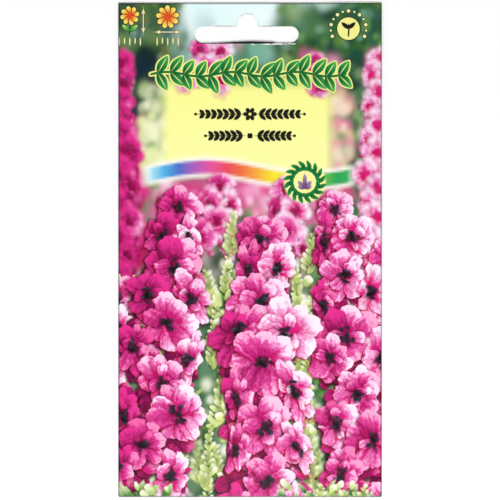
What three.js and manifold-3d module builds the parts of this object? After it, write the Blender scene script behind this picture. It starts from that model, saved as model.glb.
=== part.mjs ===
// A printed paper seed packet: one folded and glued sheet with a hang slot punched through its header,
// and inside it a small sachet of seeds. The packet lies on its back.
//
// Millimetres. X runs across the packet, Y up it from foot to header, and Z out of the printed front.
// The origin is under the middle of the packet, on the surface that it lies on.

import * as THREE from "three";
import { mergeVertices } from "three/addons/utils/BufferGeometryUtils.js";
import Module from "manifold-3d";

const wasm = await Module();
wasm.setup();

// ---------------------------------------------------------------- driving dimensions

const WIDTH = 80; // across the front, fold to fold
const HEIGHT = 150;
const PAPER = 0.12; // coated paper of about 110 g/m2
const GLUE_GAP = 0.08; // between two plies that are glued together

const SIDE_FLAP = 12; // turned in from the right fold, under the back panel
const BACK_PANEL_SHORT_OF_FOLD = 4; // the back panel's free edge stops this far from the right fold
const FOOT_FLAP = 13; // turned up from the foot, over the back panel
const FOOT_FLAP_TAPER = 5; // how far each end of the foot flap slants in
const HEADER = 22; // glued flat, above the pouch
const SWELL = 2.2; // how far the contents lift the middle of the front

const SLOT = { length: 31.8, height: 5.1, centreX: -1.06, belowTop: 9.6 };
const SLOT_BAY = { radius: 3.37, rise: 0.45, centreX: -0.76 }; // the round bay on the slot's upper side

const GLASSINE = 0.06; // the inner sachet's film
const SACHET = { width: 48, height: 62, centreX: -2, foot: -54, puff: 1.45 };

const SEED = { count: 20, columns: 5, pitch: 3.1, length: 2.3, width: 1.5, depth: 1.2 };

// ---------------------------------------------------------------- worked out from them

const PLY = PAPER + GLUE_GAP; // from one glued ply to the next
const FOOT_Y = -HEIGHT / 2;
const TOP_Y = HEIGHT / 2;
const HEADER_Y = TOP_Y - HEADER;
const BACK_Z = PLY; // the back panel's outer face; the foot flap lies below it
const SIDE_Z = 2 * PLY; // the side flap's outer face, and the front's inner face where no flap is
const FOLD_RADIUS = (PLY + PAPER) / 2; // outside of a fold between two neighbouring plies
const FOLD_X = WIDTH / 2 - FOLD_RADIUS; // centre of the right fold, and minus this of the left one
const FLAP_EDGE_X = WIDTH / 2 - SIDE_FLAP;
const BACK_EDGE_X = WIDTH / 2 - BACK_PANEL_SHORT_OF_FOLD;
const STEP = { from: FLAP_EDGE_X - 5, to: FLAP_EDGE_X - 0.5 }; // where the front climbs over the side flap

const ROW_LENGTH = 5; // how finely the front's swell is faceted along Y
const FRONT_FACETS = 28;
const FOLD_FACETS = 4;
const CURVE_FACETS = 10;

// ---------------------------------------------------------------- materials

const matt = (color, roughness) => new THREE.MeshStandardMaterial({ color, roughness, metalness: 0 });
const PRINTED_PAPER = matt(0xd98aa8, 0.38);
const DRIED_GLUE = matt(0xe9e2c8, 0.5);
const GLASSINE_FILM = matt(0xf1eee2, 0.45);
const SEED_COAT = matt(0x2b2019, 0.8);

// ---------------------------------------------------------------- helpers

/** A closed three.js geometry as a solid that can be cut and joined. */
function solidOf(geometry) {
  const bare = geometry.clone().deleteAttribute("normal").deleteAttribute("uv");
  const merged = mergeVertices(bare, 1e-4);
  return new wasm.Manifold(
    new wasm.Mesh({
      numProp: 3,
      vertProperties: merged.attributes.position.array,
      triVerts: new Uint32Array(merged.index.array),
    }),
  );
}

/** A solid back as a three.js geometry. */
function geometryOf(solid) {
  const { vertProperties, triVerts } = solid.getMesh();
  return new THREE.BufferGeometry()
    .setAttribute("position", new THREE.BufferAttribute(vertProperties, 3))
    .setIndex(new THREE.BufferAttribute(triVerts, 1));
}

function named(name, geometry, material) {
  geometry.computeVertexNormals();
  const mesh = new THREE.Mesh(geometry, material);
  mesh.name = name;
  return mesh;
}

/** Pushes each vertex up by lift(x, y, z). */
function raise(geometry, lift) {
  const p = geometry.attributes.position;
  for (let i = 0; i < p.count; i++) p.setZ(i, p.getZ(i) + lift(p.getX(i), p.getY(i), p.getZ(i)));
  return geometry;
}

/** Extrudes an outline drawn in X and Z from y = from to y = to. */
function alongY(points, from, to, steps = 1) {
  const settings = { depth: to - from, steps, bevelEnabled: false };
  const strip = new THREE.ExtrudeGeometry(new THREE.Shape(points), settings);
  return strip.rotateX(Math.PI / 2).translate(0, to, 0);
}

/** Extrudes an outline drawn in Y and Z from x = from to x = to. */
function alongX(points, from, to, steps = 1) {
  const settings = { depth: to - from, steps, bevelEnabled: false };
  const yzToWorld = new THREE.Matrix4().makeBasis(
    new THREE.Vector3(0, 1, 0),
    new THREE.Vector3(0, 0, 1),
    new THREE.Vector3(1, 0, 0),
  );
  const strip = new THREE.ExtrudeGeometry(new THREE.Shape(points), settings);
  return strip.applyMatrix4(yzToWorld).translate(from, 0, 0);
}

/** Extrudes an outline drawn in X and Y upwards from z = from to z = to. */
function alongZ(shape, from, to) {
  const settings = { depth: to - from, bevelEnabled: false, curveSegments: CURVE_FACETS };
  return new THREE.ExtrudeGeometry(shape, settings).translate(0, 0, from);
}

/** Points of an arc about (x, y), in degrees, its two ends included. */
function arc(x, y, radius, fromDegrees, toDegrees) {
  const rad = THREE.MathUtils.degToRad;
  return Array.from({ length: FOLD_FACETS + 1 }, (_, i) => {
    const a = rad(THREE.MathUtils.lerp(fromDegrees, toDegrees, i / FOLD_FACETS));
    return new THREE.Vector2(x + radius * Math.cos(a), y + radius * Math.sin(a));
  });
}

// ---------------------------------------------------------------- the folded sheet

/** Height of the front panel's inner face when the packet is empty: it climbs over the side flap. */
const frontInnerZ = (x) => SIDE_Z + PLY * THREE.MathUtils.smoothstep(x, STEP.from, STEP.to);

/** How far the contents lift the front panel. It is nothing at the folds, the foot and the header. */
function swell(x, y) {
  const middle = (FOOT_Y + HEADER_Y) / 2;
  const along = Math.abs(y - middle) / (HEADER_Y - middle);
  const across = Math.abs(x) / FOLD_X;
  return along < 1 && across < 1 ? SWELL * (1 - across ** 2.6) * (1 - along ** 3) : 0;
}

/** Stations across the front, closer together towards the folds. */
const frontStations = Array.from(
  { length: FRONT_FACETS + 1 },
  (_, i) => FOLD_X * Math.sin((Math.PI / 2) * ((2 * i) / FRONT_FACETS - 1)),
);

/** The sheet cut across: back panel, left fold, front panel, right fold and side flap, with its thickness. */
function sheetSection() {
  const leftFoldZ = BACK_Z + FOLD_RADIUS;
  const rightFoldZ = SIDE_Z + FOLD_RADIUS;
  const inside = FOLD_RADIUS - PAPER;
  const at = (x, z) => new THREE.Vector2(x, z);
  return [
    at(BACK_EDGE_X, BACK_Z),
    ...arc(-FOLD_X, leftFoldZ, FOLD_RADIUS, 270, 90),
    ...frontStations.slice(1, -1).map((x) => at(x, frontInnerZ(x) + PAPER)),
    ...arc(FOLD_X, rightFoldZ, FOLD_RADIUS, 90, -90),
    at(FLAP_EDGE_X, SIDE_Z),
    at(FLAP_EDGE_X, SIDE_Z + PAPER),
    ...arc(FOLD_X, rightFoldZ, inside, -90, 90),
    ...frontStations.slice(1, -1).reverse().map((x) => at(x, frontInnerZ(x))),
    ...arc(-FOLD_X, leftFoldZ, inside, 90, 270),
    at(BACK_EDGE_X, BACK_Z + PAPER),
  ];
}

/** A strip seen from the foot: level below, and below the front panel's inner face by `under` above. */
function underFront(bottom, under, halfWidth) {
  const xs = frontStations.filter((x) => Math.abs(x) < halfWidth);
  return [
    new THREE.Vector2(-halfWidth, bottom),
    new THREE.Vector2(halfWidth, bottom),
    ...[halfWidth, ...xs.reverse(), -halfWidth].map((x) => new THREE.Vector2(x, frontInnerZ(x) - under)),
  ];
}

/** The hang slot's outline: a round-ended slot with a round bay in its upper side, grown by `margin`. */
function slotPath(margin = 0, Kind = THREE.Path) {
  const r = SLOT.height / 2 + margin;
  const y = TOP_Y - SLOT.belowTop;
  const end = SLOT.length / 2 + margin - r;
  const bay = SLOT_BAY.radius + margin;
  const bayY = y + SLOT.height / 2 + SLOT_BAY.rise;
  const dip = Math.asin((bayY - (y + r)) / bay); // from the bay's centre down to the slot's upper side
  return new Kind()
    .absarc(SLOT.centreX - end, y, r, Math.PI / 2, (3 * Math.PI) / 2, false)
    .absarc(SLOT.centreX + end, y, r, -Math.PI / 2, Math.PI / 2, false)
    .absarc(SLOT_BAY.centreX, bayY, bay, -dip, Math.PI + dip, false);
}

function envelopeGeometry() {
  const rows = HEIGHT / ROW_LENGTH;
  const isFront = (x, z) => z > frontInnerZ(x) - GLUE_GAP / 2;
  const lift = (x, y, z) => (isFront(x, z) ? swell(x, y) : 0);
  const tube = raise(alongY(sheetSection(), FOOT_Y, TOP_Y, rows), lift);

  // Every ply but the front stops short of the crease at the foot.
  const behindCrease = alongY(underFront(-1, GLUE_GAP / 2, WIDTH / 2 + 1), FOOT_Y - 1, FOOT_Y + PLY);

  // The crease carries the front panel round the foot, and the flap lies over the back panel.
  const halfFoot = FOLD_X - FOLD_RADIUS / 2;
  const crease = alongY(underFront(0, -PAPER, halfFoot), FOOT_Y, FOOT_Y + PAPER);
  const flap = new THREE.Shape()
    .moveTo(-halfFoot, FOOT_Y)
    .lineTo(halfFoot, FOOT_Y)
    .lineTo(halfFoot - FOOT_FLAP_TAPER, FOOT_Y + FOOT_FLAP)
    .lineTo(-halfFoot + FOOT_FLAP_TAPER, FOOT_Y + FOOT_FLAP);

  const punch = alongZ(slotPath(0, THREE.Shape), -1, 1 + 3 * PLY);
  return geometryOf(
    solidOf(tube)
      .subtract(solidOf(behindCrease))
      .add(solidOf(crease))
      .add(solidOf(alongZ(flap, 0, PAPER)))
      .subtract(solidOf(punch)),
  );
}

// ---------------------------------------------------------------- glue

const FILM = { clear: 0.01, inset: 0.6 }; // gap to each ply, and how far a film stops short of an edge

/** Glue between the back panel and the side flap, all the way up. */
function sideSeamGlue() {
  const width = BACK_EDGE_X - FLAP_EDGE_X - FILM.inset;
  const length = HEIGHT - 4 * FILM.inset;
  return new THREE.BoxGeometry(width, length, GLUE_GAP - 2 * FILM.clear).translate(
    (BACK_EDGE_X + FLAP_EDGE_X) / 2,
    0,
    SIDE_Z - GLUE_GAP / 2,
  );
}

/** Glue between the foot flap and the back panel. */
function footFlapGlue() {
  const half = FOLD_X - FOOT_FLAP_TAPER - 2 * FILM.inset;
  const film = new THREE.Shape()
    .moveTo(-half, FOOT_Y + 2)
    .lineTo(half, FOOT_Y + 2)
    .lineTo(half, FOOT_Y + FOOT_FLAP - FILM.inset)
    .lineTo(-half, FOOT_Y + FOOT_FLAP - FILM.inset);
  return alongZ(film, PAPER + FILM.clear, BACK_Z - FILM.clear);
}

/** Glue in the header between `left` and `right`, over a ply whose upper face is at z, round the slot. */
function headerGlue(left, right, z, hasSlot) {
  const bottom = HEADER_Y + 2 * FILM.inset;
  const top = TOP_Y - FILM.inset;
  const film = new THREE.Shape()
    .moveTo(left, bottom)
    .lineTo(right, bottom)
    .lineTo(right, top)
    .lineTo(left, top);
  if (hasSlot) film.holes.push(slotPath(FILM.inset));
  return alongZ(film, z + FILM.clear, z + GLUE_GAP - FILM.clear);
}

// ---------------------------------------------------------------- contents

const SACHET_FLOOR = BACK_Z + PAPER + 0.1; // the sachet's lower face
const seedPatch = { x: SACHET.centreX, y: SACHET.foot + 15 };

/** How far the seeds lift the sachet's upper ply. */
function puff(x, y) {
  const across = Math.abs(x - seedPatch.x) / 18;
  const along = Math.abs(y - seedPatch.y) / 14.5;
  return across < 1 && along < 1 ? SACHET.puff * (1 - across ** 4) * (1 - along ** 4) : 0;
}

/** One strip of glassine folded at its foot, its other three edges pressed together. */
function sachetGeometry() {
  const outer = (3 * GLASSINE) / 2;
  const inner = outer - GLASSINE;
  const foldY = SACHET.foot + outer;
  const foldZ = SACHET_FLOOR + outer;
  const top = SACHET.foot + SACHET.height;
  const stations = Array.from({ length: 14 }, (_, i) => foldY + ((i + 1) * (top - foldY)) / 14);
  const at = (z) => (y) => new THREE.Vector2(y, z);
  const section = [
    ...stations.slice().reverse().map(at(foldZ - outer)),
    ...arc(foldY, foldZ, outer, 270, 90),
    ...stations.map(at(foldZ + outer)),
    ...stations.slice().reverse().map(at(foldZ + inner)),
    ...arc(foldY, foldZ, inner, 90, 270),
    ...stations.map(at(foldZ - inner)),
  ];
  const left = SACHET.centreX - SACHET.width / 2;
  const strip = alongX(section, left, left + SACHET.width, 12);
  return raise(strip, (x, y, z) => (z > foldZ && y > foldY ? puff(x, y) : 0));
}

/** A three-sided grain, blunt at one end, each one turned and sized a little differently. */
function seedGeometry(index) {
  const grain = new THREE.IcosahedronGeometry(1, 1);
  const p = grain.attributes.position;
  for (let i = 0; i < p.count; i++) {
    const taper = 1 - 0.3 * p.getX(i);
    p.setY(i, p.getY(i) * taper);
    p.setZ(i, p.getZ(i) * (1 - 0.25 * Math.abs(p.getY(i))));
  }
  const size = 0.9 + 0.1 * Math.sin(2.4 * index);
  grain.scale((size * SEED.length) / 2, (size * SEED.width) / 2.6, (size * SEED.depth) / 2);
  return grain.rotateZ(2.4 * index);
}

function seeds() {
  const rows = SEED.count / SEED.columns;
  const restZ = SACHET_FLOOR + GLASSINE + SEED.depth / 2 + 0.05;
  return Array.from({ length: SEED.count }, (_, i) => {
    const column = i % SEED.columns;
    const row = Math.floor(i / SEED.columns);
    const seed = named(`seed_${String(i + 1).padStart(2, "0")}`, seedGeometry(i), SEED_COAT);
    seed.position.set(
      seedPatch.x + (column - (SEED.columns - 1) / 2 + 0.18 * Math.sin(5.1 * i)) * SEED.pitch,
      seedPatch.y + (row - (rows - 1) / 2 + 0.18 * Math.cos(3.7 * i)) * SEED.pitch,
      restZ,
    );
    return seed;
  });
}

// ---------------------------------------------------------------- the packet

const filmEnd = FOLD_X - FILM.inset;
const overFlap = FLAP_EDGE_X + FILM.inset;

const packet = new THREE.Group();
packet.add(
  named("printed_envelope", envelopeGeometry(), PRINTED_PAPER),
  named("side_seam_glue", sideSeamGlue(), DRIED_GLUE),
  named("foot_flap_glue", footFlapGlue(), DRIED_GLUE),
  named("header_glue", headerGlue(-filmEnd, STEP.from - FILM.inset, BACK_Z + PAPER, true), DRIED_GLUE),
  named("header_glue_over_flap", headerGlue(overFlap, filmEnd, SIDE_Z + PAPER, false), DRIED_GLUE),
  named("seed_sachet", sachetGeometry(), GLASSINE_FILM),
  ...seeds(),
);

export default packet;
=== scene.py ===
"""A printed paper seed packet, lying on its back: one sheet, folded, glued and punched with a hang slot."""

import itertools
import random
from math import atan2, copysign, cos, exp, hypot, pi, radians, sin, sqrt, tau

import bpy
import numpy as np
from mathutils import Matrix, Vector, noise


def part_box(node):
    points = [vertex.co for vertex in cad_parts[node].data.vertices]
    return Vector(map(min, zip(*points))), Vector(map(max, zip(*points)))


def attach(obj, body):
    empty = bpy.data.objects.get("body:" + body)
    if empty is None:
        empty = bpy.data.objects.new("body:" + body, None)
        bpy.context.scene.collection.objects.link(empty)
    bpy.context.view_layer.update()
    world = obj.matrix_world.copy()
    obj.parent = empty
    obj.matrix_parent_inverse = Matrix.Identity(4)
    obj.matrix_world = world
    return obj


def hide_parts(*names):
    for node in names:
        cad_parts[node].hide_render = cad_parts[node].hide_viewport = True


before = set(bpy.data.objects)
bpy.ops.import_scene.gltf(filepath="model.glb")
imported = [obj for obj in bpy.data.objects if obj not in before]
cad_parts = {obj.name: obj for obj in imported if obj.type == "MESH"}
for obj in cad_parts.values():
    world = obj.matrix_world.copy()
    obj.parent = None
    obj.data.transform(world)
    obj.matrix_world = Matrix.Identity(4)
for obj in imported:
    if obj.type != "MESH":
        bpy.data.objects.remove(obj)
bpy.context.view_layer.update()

# ------------ the board, the light and the camera
# A plain white board lies under the packet. Soft light comes from all round and from one
# large lamp on the side of the packet's foot, and the camera looks straight down.
MM = 0.001
VIEW_WIDTH = 152 * MM  # what the camera takes in, across
LENS, SENSOR = 135, 36
BOARD_SIZE, BOARD_GAP = 2.4, 0.03 * MM
LAMP_SIZE, LAMP_DISTANCE, LAMP_TILT = 0.5, 1.3, radians(36)
LAMP_POWER, SKY_STRENGTH = 10.8, 0.56


def linear(hex_colour):
    """An sRGB hex colour as linear numbers."""
    channels = [int(hex_colour[i:i + 2], 16) / 255 for i in (1, 3, 5)]
    return [c / 12.92 if c <= 0.04045 else ((c + 0.055) / 1.055) ** 2.4 for c in channels]


def node(tree, kind, inputs=(), operation=None, stops=(), **settings):
    """Adds a node with its settings and links. inputs is a list in the order of its sockets, or a
    dict by their names. stops are the places and hex colours of a colour ramp."""
    made = tree.nodes.new("ShaderNode" + kind)
    for name, value in settings.items():
        setattr(made, name, value)
    if operation:
        made.operation = operation
    for n, (place, colour) in enumerate(stops):
        if n == len(made.color_ramp.elements):
            made.color_ramp.elements.new(place)
        made.color_ramp.elements[n].position = place
        made.color_ramp.elements[n].color = (*linear(colour), 1)
    used = [socket for socket in made.inputs if socket.enabled]
    for key, value in inputs.items() if isinstance(inputs, dict) else enumerate(inputs):
        socket = made.inputs[key] if isinstance(key, str) else used[key]
        if isinstance(value, bpy.types.Node):
            value = next(output for output in value.outputs if output.enabled)
        if isinstance(value, bpy.types.NodeSocket):
            tree.links.new(value, socket)
        else:
            socket.default_value = value
    return made


def new_material(name):
    """A material, its node tree, and in that the place on the object."""
    made = bpy.data.materials.new(name)
    made.use_nodes = True
    tree = made.node_tree
    tree.nodes.clear()
    return made, tree, node(tree, "TexCoord").outputs["Object"]


def deselect():
    bpy.ops.object.select_all(action="DESELECT")


deselect()
bpy.ops.mesh.primitive_plane_add(size=BOARD_SIZE, location=(0, 0, -BOARD_GAP))
board = bpy.context.object
board.name = "white_board"
# Matt white card: an even, faintly cloudy white with no gloss.
white_card, tree, object_place = new_material("matt white card")
clouds = node(tree, "TexNoise", {"Vector": object_place, "Scale": 9.0})
cloudy_white = node(tree, "ValToRGB", [clouds], stops=[(0.3, "#FDFDFD"), (0.7, "#FEFEFE")])
card = node(tree, "BsdfPrincipled", {"Base Color": cloudy_white, "Roughness": 0.9, "Specular IOR Level": 0.1})
node(tree, "OutputMaterial", [card])
board.data.materials.append(white_card)

scene = bpy.context.scene
scene.view_settings.view_transform = "Standard"
scene.world = bpy.data.worlds.new("white studio")
scene.world.use_nodes = True
sky = scene.world.node_tree.nodes["Background"].inputs
sky["Color"].default_value = (1, 1, 1, 1)
sky["Strength"].default_value = SKY_STRENGTH

bpy.ops.object.light_add(
    type="AREA", rotation=(LAMP_TILT, 0, 0),
    location=(0, -LAMP_DISTANCE * sin(LAMP_TILT), LAMP_DISTANCE * cos(LAMP_TILT)))
lamp = bpy.context.object
lamp.data.size = LAMP_SIZE
lamp.data.energy = LAMP_POWER

bpy.ops.object.camera_add(location=(0, 0, VIEW_WIDTH * LENS / SENSOR), rotation=(0, 0, 0))
camera = bpy.context.object
camera.data.lens = LENS
camera.data.sensor_width = SENSOR
scene.camera = camera

# ------------ the folded sheet
# One sheet of coated paper is the whole envelope: the front, a back panel folded round the left
# side, a flap turned in from the right side under it, and a flap turned up over the back at the
# foot. It is die-cut, folded and glued flat by machine, and then its hang slot is punched.
low, high = (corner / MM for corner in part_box("printed_envelope"))
WIDTH, HEIGHT = high.x - low.x, high.y - low.y
PAPER = 0.12  # thickness
PLY = 0.20  # from one glued ply to the next
FRONT_Z = 2 * PLY + PAPER  # the front's printed side, where it lies on the back panel only
SIDE_FOLD = (PLY + PAPER) / 2  # outer radius
FOOT_FOLD = FRONT_Z / 2
FOLD_X = WIDTH / 2 - SIDE_FOLD
FOOT_Y = FOOT_FOLD - HEIGHT / 2
SIDE_FLAP_EDGE = WIDTH / 2 - 12
BACK_PANEL_EDGE = WIDTH / 2 - 4
FOOT_FLAP, FOOT_FLAP_TAPER = 13, 0.12
STEP_UP = (SIDE_FLAP_EDGE - 5, SIDE_FLAP_EDGE - 0.5)  # where the front climbs over the side flap
HEADER_Y = HEIGHT / 2 - 22  # the front and the back are glued together above this
SWELL = high.z - FRONT_Z  # how far the seeds and the air inside lift the front
CELL = 0.7  # size of the front's mesh
SLOT_X, SLOT_Y, SLOT_WIDE, SLOT_HIGH = -1.06, 65.4, 31.8, 5.1
SLOT_FOOT = SLOT_Y - SLOT_HIGH / 2  # its lower edge
LIP_X, LIP_LIFT, LIP_WIDE, LIP_DEEP = 3, 0.2, 9, 5
TOUCH = 0.01  # nearer than this counts as on a line
FOLD_STEPS, SIDE_STEPS, FOOT_STEPS, BACK_STEPS = 6, 6, 10, 48
X_AXIS, Y_AXIS = 0, 1
CREASE = radians(40)  # a sharper edge isn't shaded smooth


def clamp(value):
    return min(1, max(0, value))


def smoothstep(value, start, end):
    t = clamp((value - start) / (end - start))
    return t * t * (3 - 2 * t)


def swell(x, y):
    """How far the contents lift the front at (x, y)."""
    middle = (HEADER_Y - HEIGHT / 2) / 2
    along = abs(y - middle) / (HEADER_Y - middle)
    across = abs(x) / FOLD_X
    if along >= 1 or across >= 1:
        return 0
    lift = SWELL * (1 - across ** 2.6) * (1 - along ** 3)
    dents = noise.fractal(Vector((x / 26, y / 34, 3.1)), 1.0, 2.0, 2)
    return lift * (0.96 + 0.09 * dents)


def lip(x, y):
    """How far the punch has lifted the front's lower lip at the hang slot."""
    below = smoothstep(y, SLOT_FOOT - LIP_DEEP, SLOT_FOOT) * (y < SLOT_Y)
    return LIP_LIFT * below * exp(-((x - LIP_X) / LIP_WIDE) ** 2)


def mode(name):
    bpy.ops.object.mode_set(mode=name)


def select_edges(mesh, test):
    """In edit mode, selects the edges whose ends pass test(start, end), in millimetres."""
    bpy.ops.mesh.select_all(action="DESELECT")
    mode("OBJECT")
    for edge in mesh.edges:
        edge.select = test(*(mesh.vertices[i].co / MM for i in edge.vertices))
    mode("EDIT")


def select_line(mesh, test):
    """In edit mode, selects the edges whose ends both pass test(x, y, z), in millimetres."""
    select_edges(mesh, lambda start, end: test(*start) and test(*end))


def extrude(distance, steps, axis):
    """Extrudes the selected edges along an axis in equal steps."""
    for _ in range(steps):
        move = [0, 0, 0]
        move[axis] = distance * MM / steps
        bpy.ops.mesh.extrude_region_move(TRANSFORM_OT_translate={"value": move})


def fold(centre, axis):
    """Turns the selected edges round a half circle."""
    bpy.ops.mesh.spin(steps=FOLD_STEPS, angle=pi, center=[c * MM for c in centre], axis=axis)


deselect()
bpy.ops.mesh.primitive_grid_add(
    x_subdivisions=round(2 * FOLD_X / CELL), y_subdivisions=round(HEIGHT / CELL), size=MM)
sheet = bpy.context.object
sheet.name = "folded_sheet"
mesh = sheet.data
mode("EDIT")
bpy.ops.mesh.select_mode(type="EDGE")
bpy.ops.transform.resize(value=(2 * FOLD_X, HEIGHT / 2 - FOOT_Y, 1))
bpy.ops.transform.translate(value=(0, (HEIGHT / 2 + FOOT_Y) / 2 * MM, FRONT_Z * MM))
select_line(mesh, lambda x, y, z: x > FOLD_X - TOUCH)
fold((FOLD_X, 0, FRONT_Z - SIDE_FOLD), (0, -1, 0))
extrude(SIDE_FLAP_EDGE - FOLD_X, SIDE_STEPS, X_AXIS)
select_line(mesh, lambda x, y, z: y < FOOT_Y + TOUCH and z > FRONT_Z - TOUCH)
fold((0, FOOT_Y, FOOT_FOLD), (-1, 0, 0))
extrude(FOOT_FLAP, FOOT_STEPS, Y_AXIS)
mode("OBJECT")
for vertex in mesh.vertices:
    x, y, z = vertex.co / MM
    climb = PLY * smoothstep(x, *STEP_UP)
    if y < FOOT_Y - TOUCH or z < TOUCH:
        climb *= z / FRONT_Z
    if z > FRONT_Z - TOUCH:
        climb += swell(x, y) + lip(x, y)
    vertex.co.z += climb * MM
    if z < TOUCH:
        vertex.co.x *= 1 - FOOT_FLAP_TAPER * max(0, y - FOOT_Y) / FOOT_FLAP
mode("EDIT")
select_line(mesh, lambda x, y, z: x < TOUCH - FOLD_X and z > FRONT_Z - TOUCH and y > FOOT_Y - TOUCH)
fold((-FOLD_X, 0, FRONT_Z - SIDE_FOLD), (0, 1, 0))
extrude(BACK_PANEL_EDGE + FOLD_X, BACK_STEPS, X_AXIS)
bpy.ops.mesh.select_all(action="SELECT")
bpy.ops.mesh.remove_doubles(threshold=TOUCH * MM)
bpy.ops.mesh.normals_make_consistent(inside=False)
mode("OBJECT")

# Three finishes meet on the sheet: the front's print, the back's print, and bare white paper.
FRONT, BACK, BARE = range(3)
finishes = [new_material(name) for name in (
    "front print, offset, varnished", "back print, offset", "bare white paper")]
for material, _, _ in finishes:
    mesh.materials.append(material)
for face in mesh.polygons:
    x, y, z = face.center / MM
    face.material_index = FRONT if face.normal.z > 0 else BACK
    if face.normal.z < -0.9 and (z > FRONT_Z - PAPER - TOUCH and x < BACK_PANEL_EDGE - 0.5
                                 or z > 0.1 and y < FOOT_Y + FOOT_FLAP - 0.5):
        face.material_index = BARE
solid = sheet.modifiers.new("paper", "SOLIDIFY")
solid.thickness = PAPER * MM
solid.offset = -1
solid.material_offset = solid.material_offset_rim = BARE
bpy.ops.object.modifier_apply(modifier=solid.name)
for face in mesh.polygons:
    face.material_index = min(face.material_index, BARE)

# ------------ the hang slot
# A long slot with round ends, and a round bay above its middle for a single hook. Both are one
# punch through all the plies, which leaves the paper's edge a little rough, and bulging along the
# middle of its lower side.
BAY_X, BAY_Y, BAY_RADIUS = -0.76, 68.4, 3.37
ROUND_END = SLOT_X - SLOT_WIDE / 2 + SLOT_HIGH / 2  # the middle of its left end
BULGE_X, BULGE_WIDE, BULGE_HIGH = 0.4, 13, 0.5
ROUGHNESS = 0.05  # how far the cut wanders
TOOL_LENGTH, SLOT_CUTS = 8, 80
noise.seed_set(5)  # so that the rough edge is the same each time


def punch(tool):
    """Cuts a tool's shape out of the sheet."""
    bpy.context.view_layer.objects.active = sheet
    cut = sheet.modifiers.new("punch", "BOOLEAN")
    cut.object, cut.solver = tool, "EXACT"
    bpy.ops.object.modifier_apply(modifier=cut.name)
    bpy.data.objects.remove(tool)


def bulge(x):
    """How far the paper bulges into the slot at its lower side; this also sets how wide the painted shadow
    along that edge is.
    """
    across = min(1, abs(x - BULGE_X) / BULGE_WIDE)
    return BULGE_HIGH * (1 - across ** 1.6) ** 1.5


def rough(tool):
    """Makes the side of a punching tool a little rough, and dents its lower side."""
    for vertex in tool.data.vertices:
        x, y, _ = vertex.co / MM
        wander = noise.noise_vector(Vector((x * 1.7, y * 1.7, 0))) * ROUGHNESS * MM
        vertex.co.x += wander.x
        vertex.co.y += wander.y + (bulge(x) * MM if y < SLOT_FOOT + TOUCH else 0)


def round_tool(x, y, radius, sides):
    deselect()
    bpy.ops.mesh.primitive_cylinder_add(
        vertices=sides, radius=radius * MM, depth=TOOL_LENGTH * MM, location=(x * MM, y * MM, 0))
    bpy.ops.object.transform_apply()
    return bpy.context.object


bar = round_tool(ROUND_END, SLOT_Y, SLOT_HIGH / 2, 64)
mode("EDIT")
bpy.ops.mesh.select_mode(type="EDGE")
select_line(bar.data, lambda x, y, z: x > ROUND_END + TOUCH)
bpy.ops.transform.translate(value=((SLOT_WIDE - SLOT_HIGH) * MM, 0, 0))
select_edges(bar.data, lambda start, end: abs(start.x - end.x) > SLOT_WIDE / 2)
bpy.ops.mesh.subdivide(number_cuts=SLOT_CUTS)
mode("OBJECT")
rough(bar)
punch(bar)

bay = round_tool(BAY_X, BAY_Y, BAY_RADIUS, 72)
rough(bay)
punch(bay)
for face in mesh.polygons:
    if abs(face.normal.z) < 0.3 and face.center.y > 60 * MM and abs(face.center.x) < 20 * MM:
        face.material_index = BARE
deselect()
sheet.select_set(True)
bpy.context.view_layer.objects.active = sheet
bpy.ops.object.shade_smooth_by_angle(angle=CREASE)
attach(sheet, "root")
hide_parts("printed_envelope")

# ------------ how the sheet is printed
# The flat sheet is offset printed before it is folded. A plate is a list of inked shapes, laid down
# in order, and each face of the sheet carries the last few shapes that reach it as attributes.
LAYERS = 14  # shapes that one face carries at most
SHADOW = 1.0  # how far the shadow that a printed petal casts reaches past its edge
THIN = 0.4  # half the width of a shape that could fall between three points of a face


def mix(a, b, t):
    """The colour between two linear colours."""
    t = clamp(t)
    return [p + (q - p) * t for p, q in zip(a, b)]


def ink(x, y, turn, length, width, base, tip=None, taper=0, blunt=2, ruffle=0, gleam=0, soft=0.08):
    """Adds a rounded shape to the plate: its middle, turn and size in mm, and its two end colours."""
    plate.append((x, y, turn, length / 2, width / 2, taper, blunt, ruffle, *base, soft, *(tip or base),
                  gleam))


def ink_from(x, y, turn, length, width, base, tip=None, to_middle=None, **form):
    """Adds a shape in the direction of turn from (x, y), which it touches if to_middle isn't given."""
    far = length / 2 if to_middle is None else to_middle
    ink(x + cos(turn) * far, y + sin(turn) * far, turn, length, width, base, tip, **form)


def dot(x, y, wide, colour, **form):
    ink(x, y, 0, wide, wide, colour, **form)


def depth(shape, x, y):
    """How deep inside an inked shape the points (x, y) lie, in mm."""
    turn, half_length, half_width, taper, blunt = shape[2:7]
    x, y = x - shape[0], y - shape[1]
    along = (x * cos(turn) + y * sin(turn)) / half_length
    across = (y * cos(turn) - x * sin(turn)) / half_width
    across /= np.maximum(1 + taper * along, 0.05)
    return (1 - (np.abs(along) ** blunt + np.abs(across) ** blunt) ** (1 / blunt)) * half_width


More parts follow.
